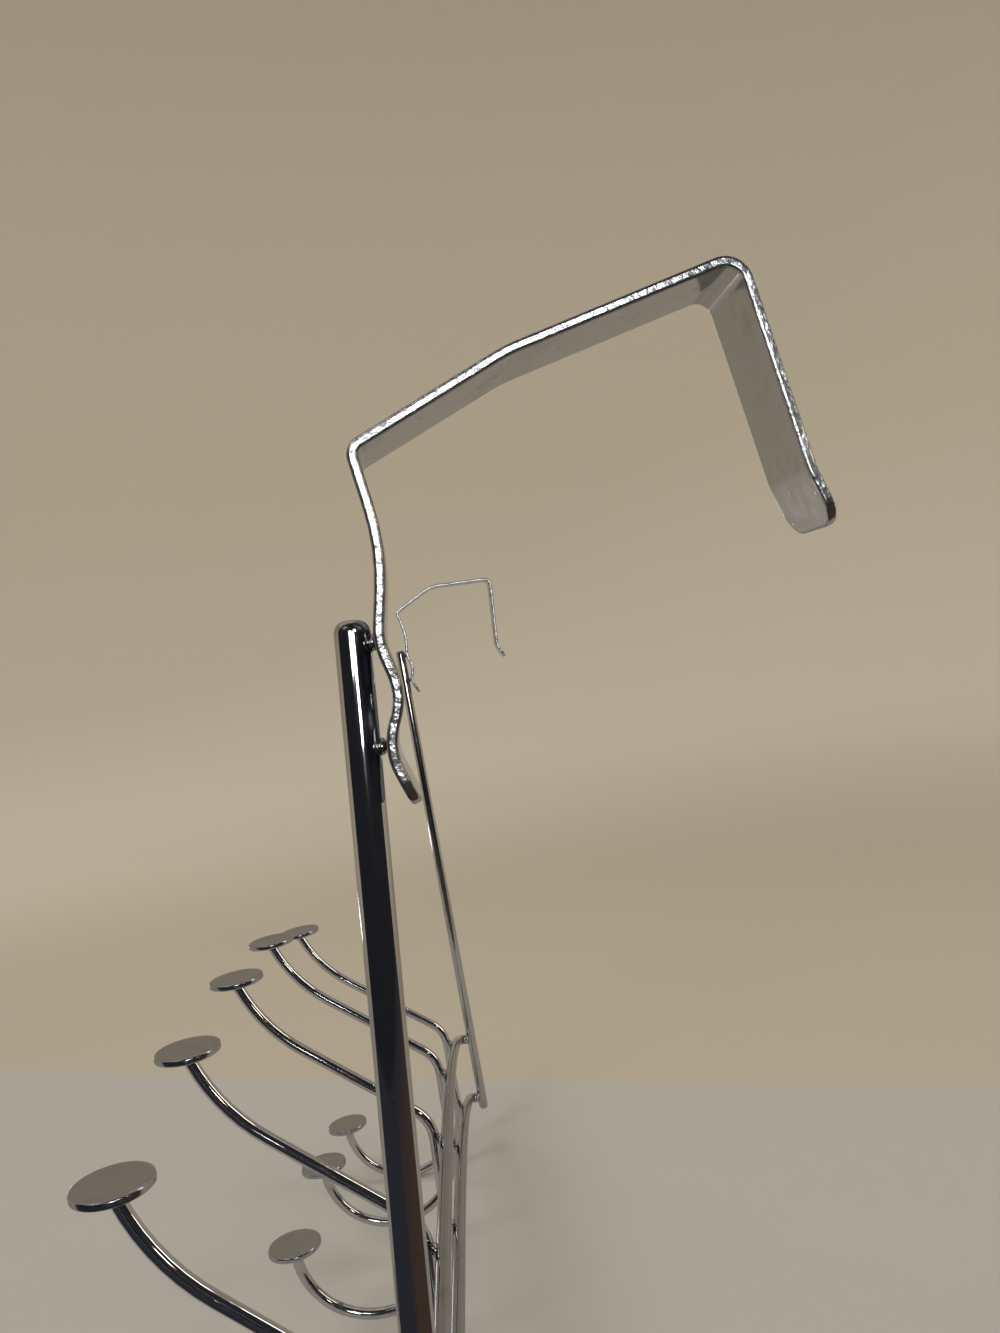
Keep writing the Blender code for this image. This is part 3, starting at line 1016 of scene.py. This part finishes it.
@dataclass
class Straps:
    """The two folded strips that hang over the door's edge, with their weld beads."""

    chrome: Material
    weld_chrome: Material
    width: float = 0.014
    thickness: float = 0.0014
    end_corner: float = 0.0035
    corner_steps: int = 10
    eased_edge: float = 0.00042
    ease_steps: int = 4
    fold_crease: float = 30
    upper_weld_drop: float = 0.003
    lower_weld_drop: float = 0.016
    wave_depth: float = 0.0022
    tail_length: float = 0.007
    tail_flare: float = 0.003
    bow_below_fold: float = 0.012
    bow_depth: float = 0.0014
    fold_set_forward: float = 0.0013
    rise_length: float = 0.0222
    top_length: float = 0.0312
    tip_length: float = 0.0075
    shortest_run: float = 0.00003
    end_slack: float = 0.00001
    radii: tuple[float, ...] = (0.008, 0.008, 0.008, 0.030, 0.0018, 0.016, 0.003, 0.006)
    bends: tuple[StrapBends, ...] = (
        StrapBends(Side.LEFT, 27, -2.5, -4, 24.5, 0.0347),
        StrapBends(Side.RIGHT, 27.5, 18.5, 14, 22.5, 0.0275),
    )
    bead: Triple = (0.0024, 0.0007, 0.0012)
    bead_seeds: tuple[int, int] = (21, 22)

    def _corners(self, bends: StrapBends) -> list[Vector]:
        """Place the sharp corners of a strap's centre line.

        Args:
            bends: The strap's bends.

        Returns:
            The corners, as Y and Z, from the tail to the rear tip.
        """
        seat = SIZES.rod_radius + SIZES.weld_gap + self.thickness / 2
        top = SIZES.rod_top
        corners = [
            Vector((seat + self.tail_flare, top - self.lower_weld_drop - self.tail_length)),
            Vector((seat, top - self.lower_weld_drop)),
            Vector((seat + self.wave_depth, top - (self.upper_weld_drop + self.lower_weld_drop) / 2)),
            Vector((seat, top - self.upper_weld_drop)),
            Vector((seat + self.bow_depth, -self.bow_below_fold)),
            Vector((seat - self.fold_set_forward, 0)),
        ]
        for length, heading in (
            (self.rise_length, bends.rise_slope),
            (self.top_length, bends.top_slope),
            (bends.leg_length, DOWN + bends.leg_lean),
            (self.tip_length, DOWN + bends.tip_lean),
        ):
            corners.append(corners[-1] + length * toward(heading))
        return corners

    def _strip(self, bends: StrapBends) -> Piece:
        """Bend one strip through its folds, then round its ends and ease its edges.

        Args:
            bends: The strip's bends.

        Returns:
            The strip, before its upright's lean.
        """
        corners = self._corners(bends)
        stretches = [after - before for before, after in zip(corners, corners[1:])]
        headings = [math.degrees(math.atan2(stretch.y, stretch.x)) for stretch in stretches]
        turns = [turn_between(before, after) for before, after in zip(headings, headings[1:])]
        halves = [math.tan(math.radians(abs(turn)) / 2) for turn in turns]
        setbacks = [
            min(radius * half, before.length / 2, after.length / 2)
            for radius, half, before, after in zip(self.radii, halves, stretches, stretches[1:])
        ]
        bender = Bender(f"{bends.side.word}_strap", corners[0], headings[0], forward=1)
        bender.section(bpy.ops.mesh.primitive_plane_add, (self.width, self.thickness, 1), size=1)
        for index, stretch in enumerate(stretches):
            length = stretch.length - sum(setbacks[max(index - 1, 0) : index + 1])
            if length > self.shortest_run:
                bender.run(length)
            if index < len(turns):
                bender.bend(setbacks[index] / halves[index], turns[index])
        strip = Bench.tidy(bender.item, self.fold_crease)
        slack = self.end_slack
        for end, stretch in ((corners[0], stretches[0]), (corners[-1], stretches[-1])):
            along = stretch.normalized()

            def at_end(start: Vector, stop: Vector) -> bool:
                """Whether an edge runs through the strap's thickness at this end."""
                close = (start.yz - end).length < self.thickness and abs(start.x - stop.x) < slack
                return close and all(abs((point.yz - end).dot(along)) < slack for point in (start, stop))

            Bench.round_edges(strip, at_end, self.end_corner, self.corner_steps)
        ease = strip.modifiers.new("eased_edges", "BEVEL")
        ease.width = self.eased_edge
        ease.segments = self.ease_steps
        ease.limit_method = "ANGLE"
        ease.angle_limit = math.radians(CREASE)
        Bench.pick(strip)
        bpy.ops.object.modifier_apply(modifier=ease.name)
        return Bench.tidy(strip)

    def build(self) -> None:
        """Place and dress both straps and their welds."""
        back = SIZES.rod_radius + SIZES.weld_gap / 2
        drops = (self.upper_weld_drop, self.lower_weld_drop)
        for bends in self.bends:
            place = SIZES.side_place(bends.side)
            strip = self._strip(bends)
            strip.data.transform(place)
            Bench.hand_over(strip, self.chrome, STRAP_CHROME.slot, f"strap_{bends.side.word}")
            centres = [(0, back, SIZES.rod_top - drop) for drop in drops]
            beads = WELDER.beads(centres, self.bead, self.bead_seeds)
            welds = Bench.join(beads, f"{bends.side.word}_strap_welds")
            welds.data.transform(place)
            Bench.hand_over(welds, self.weld_chrome, STRAP_CHROME.slot)


class LampUse(Enum):
    """What a lamp is for. Each value says whether the lamp lights surfaces and whether it shows in metal."""

    ALL = (True, True)
    LIGHT = (True, False)
    GLINT = (False, True)


@dataclass(frozen=True)
class Softbox:
    """One rectangular lamp, large and soft, or small for a glint."""

    name: str
    place: Triple
    width: float
    height: float
    power: float
    colour: Triple = (1.0, 0.97, 0.92)
    use: LampUse = LampUse.ALL


@dataclass
class Studio:
    """A pale seamless sweep with soft lamps, a dark drape that only metal mirrors, and the camera."""

    MATT = {"Roughness": 1.0, "Specular IOR Level": 0.0}

    floor_z: float = -0.2795
    floor_radius: float = 1.5
    floor_corners: int = 128
    sweep_radius: float = 0.7
    sweep_steps: int = 16
    wall_height: float = 1.6
    table_tone: Triple = (0.36, 0.345, 0.315)
    foot_tone: Triple = (0.385, 0.34, 0.27)
    wall_tone: Triple = (0.65, 0.60, 0.51)
    table_edge: float = 0.252
    table_edge_way: Triple = (-0.9053, 0.4248, 0.0)
    table_edge_blur: float = 0.014
    wall_from_reach: Span = (0.75, 1.9)
    world_tone: Triple = (1.0, 0.96, 0.90)
    world_strength: float = 0.50
    target: Triple = (0.0, 0.0, -0.12)
    lamps: tuple[Softbox, ...] = (
        Softbox("key", (0.9, -0.9, 1.3), 0.7, 0.7, 13.0),
        Softbox("fill", (0.2, 1.4, 0.6), 0.6, 0.9, 6.0),
        Softbox("back", (-1.2, -0.5, 0.9), 0.6, 0.6, 5.5, use=LampUse.LIGHT),
        Softbox("top", (0.0, 0.1, 1.5), 1.0, 1.0, 8.0, (1.0, 0.99, 0.97), LampUse.LIGHT),
        Softbox("glint", (0.375, -0.03, 0.02), 0.05, 0.05, 0.07, (0.95, 0.97, 1.0), LampUse.GLINT),
        Softbox("rear_glint", (0.380, 0.06, 0.05), 0.05, 0.05, 0.07, (0.95, 0.97, 1.0), LampUse.GLINT),
        Softbox("far_glint", (0.78, 0.07, 0.05), 0.12, 0.12, 0.60, (1.0, 0.98, 0.95), LampUse.GLINT),
        Softbox("rail_glint", (-0.60, -0.48, -0.24), 0.30, 0.025, 0.16, (0.97, 0.98, 1.0), LampUse.GLINT),
        Softbox("warm_glint", (0.60, 0.50, 0.10), 0.07, 0.07, 0.22, (1.0, 0.84, 0.60), LampUse.GLINT),
    )
    cloth_corners: int = 96
    drape_radius: float = 0.85
    drape_top: float = 1.1
    drape_edge: float = 0.12
    hem_edge: float = 0.10
    hem_lift: float = 0.002
    canopy_edge: float = -0.10
    canopy_blend: float = 0.55
    canopy_pale: Triple = (0.50, 0.48, 0.44)
    drape_cool: Triple = (0.030, 0.034, 0.046)
    # The warm tone shows only in the metal: a painted brown reflection low on the near upright.
    drape_warm: Triple = (0.070, 0.046, 0.036)
    warm_from_y: Span = (-0.04, 0.12)
    warm_to_reach: Span = (0.95, 0.50)
    camera_place: Triple = (0.341419, 0.005712, -0.025999)
    camera_turn: Triple = (89.0312, 7.763, 85.0594)
    camera_sees: Span = (0.01, 20.0)
    lens: float = 28.247

    def _sweep_paper(self) -> Material:
        """Make the sweep's paper: table tone, a warmer tone past the table's edge, and wall tone far out.

        Returns:
            The material.
        """
        wiring = Wiring.of_material("sweep_paper")
        place = wiring.given["Object"]
        past = wiring.node("VectorMath", {0: place, 1: self.table_edge_way}, operation="DOT_PRODUCT")
        foot = wiring.ease(past["Value"], self.table_edge, self.table_edge + self.table_edge_blur)
        near = wiring.mix(foot, self.table_tone, self.foot_tone)
        wall = wiring.ease(wiring.reach(place), *self.wall_from_reach)
        tone = wiring.mix(wall, near, self.wall_tone)
        return wiring.finish({"Base Color": tone, **self.MATT})

    def _drape_cloth(self) -> Material:
        """Make the dark cloth of the drape and its hem, which is warmer near the rack's rear.

        Returns:
            The material.
        """
        wiring = Wiring.of_material("drape_cloth")
        place = wiring.given["Object"]
        # Painted reflection: the warm patch shows only in the chrome, as brown low on the near upright.
        rear = wiring.ease(wiring.axis(place, "Y"), *self.warm_from_y)
        near = wiring.ease(wiring.reach(place), *self.warm_to_reach)
        tone = wiring.mix(wiring.math("MULTIPLY", rear, near), self.drape_cool, self.drape_warm)
        return wiring.finish({"Base Color": tone, **self.MATT})

    def _canopy_cloth(self) -> Material:
        """Make the canopy's cloth, which darkens towards the camera's side.

        Returns:
            The material.
        """
        wiring = Wiring.of_material("canopy_cloth")
        along = wiring.axis(wiring.given["Object"], "X")
        share = wiring.ease(along, self.canopy_edge, self.canopy_edge + self.canopy_blend)
        tone = wiring.mix(share, self.canopy_pale, self.drape_cool)
        return wiring.finish({"Base Color": tone, **self.MATT})

    def _sweep(self) -> None:
        """Model the floor and the wall that rises round it without a seam."""
        rises = []
        before = self.floor_radius
        for last, angle in quarter_turn(self.sweep_steps):
            radius = self.floor_radius + self.sweep_radius * math.sin(angle)
            rises.append((self.sweep_radius * (math.cos(last) - math.cos(angle)), radius / before))
            before = radius
        sweep = Bench.disc("sweep", self.floor_corners, self.floor_radius, self.floor_z)
        Bench.edit(sweep, every=True)
        bpy.ops.mesh.select_mode(type="EDGE")
        for lift, share in [*rises, (self.wall_height, 1.0)]:
            bpy.ops.mesh.select_all(action="DESELECT")
            bpy.ops.mesh.select_non_manifold(
                use_wire=False, use_boundary=True, use_multi_face=False, use_non_contiguous=False
            )
            bpy.ops.mesh.extrude_edges_move(TRANSFORM_OT_translate={"value": (0, 0, lift)})
            bpy.ops.transform.resize(value=(share, share, 1), center_override=(0, 0, 0))
        Bench.done()
        bpy.ops.object.shade_smooth()
        sweep.data.materials.append(self._sweep_paper())

    def _lamps(self) -> None:
        """Set the lamps and the world."""
        for box in self.lamps:
            light = bpy.data.lights.new(box.name, "AREA")
            light.shape = "RECTANGLE"
            light.size, light.size_y = box.width, box.height
            light.energy = box.power
            light.color = box.colour
            lamp = bpy.data.objects.new(box.name, light)
            lamp.location = box.place
            facing = Vector(self.target) - Vector(box.place)
            lamp.rotation_euler = facing.to_track_quat("-Z", "Y").to_euler()
            lamp.visible_diffuse, lamp.visible_glossy = box.use.value
            lamp.visible_camera = False
            bpy.context.scene.collection.objects.link(lamp)
        world = bpy.data.worlds.new("studio_air")
        world.use_nodes = True
        air = world.node_tree.nodes["Background"]
        air.inputs["Color"].default_value = (*self.world_tone, 1)
        air.inputs["Strength"].default_value = self.world_strength
        bpy.context.scene.world = world

    def _drape(self) -> None:
        """Hang a dark cloth on the camera's side, with a hem and a canopy, that only metal mirrors."""
        foot = self.floor_z + self.hem_lift
        height = self.drape_top - foot
        corners, radius = self.cloth_corners, self.drape_radius
        sizes = {"vertices": corners, "radius": radius, "depth": height, "end_fill_type": "NOTHING"}
        middle = (0, 0, foot + height / 2)
        drape = Bench.add(bpy.ops.mesh.primitive_cylinder_add, "drape", location=middle, **sizes)
        hem = Bench.disc("hem", corners, radius, foot)
        canopy = Bench.disc("canopy", corners, radius, self.drape_top)
        cloth = self._drape_cloth()
        for item, material, edge in (
            (drape, cloth, self.drape_edge),
            (hem, cloth, self.hem_edge),
            (canopy, self._canopy_cloth(), self.canopy_edge),
        ):
            item.data.materials.append(material)
            Bench.edit(item, every=True)
            bpy.ops.mesh.bisect(plane_co=(edge, 0, 0), plane_no=(1, 0, 0), clear_inner=True)
            Bench.done()
            # Drape, hem and canopy are hidden from the camera, from diffuse light and from shadow: their
            # tones are painted reflections in the chrome, mostly dark.
            for unseen in ("visible_camera", "visible_diffuse", "visible_shadow", "visible_transmission"):
                setattr(item, unseen, False)

    def _camera(self) -> None:
        """Set the camera where the photograph was taken."""
        camera = bpy.data.cameras.new("camera")
        camera.lens = self.lens
        camera.clip_start, camera.clip_end = self.camera_sees
        stand = bpy.data.objects.new("camera", camera)
        stand.location = self.camera_place
        stand.rotation_euler = [math.radians(angle) for angle in self.camera_turn]
        bpy.context.scene.collection.objects.link(stand)
        bpy.context.scene.camera = stand

    def build(self) -> None:
        """Build the whole studio."""
        self._sweep()
        self._lamps()
        self._drape()
        self._camera()
        bpy.context.scene.view_settings.view_transform = "Standard"


def main() -> None:
    """Build every sub-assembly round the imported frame, then the studio."""
    logging.basicConfig(level=logging.INFO, format="%(name)s: %(message)s")
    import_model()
    plating = PlatingShader()
    weld_chrome = plating.material("chrome_on_welds", WELD_CHROME)
    wire_chrome = plating.material("chrome_on_wire", WIRE_CHROME)
    disc_chrome = plating.material("chrome_on_discs", DISC_CHROME)
    Uprights(plating.material("chrome_on_rods", ROD_CHROME)).build()
    Rails(plating.material("chrome_on_rails", RAIL_CHROME), weld_chrome).build()
    Hooks(wire_chrome, disc_chrome, weld_chrome).build()
    Straps(plating.material("chrome_on_strip", STRAP_CHROME), weld_chrome).build()
    Studio().build()


if __name__ == "__main__":
    main()
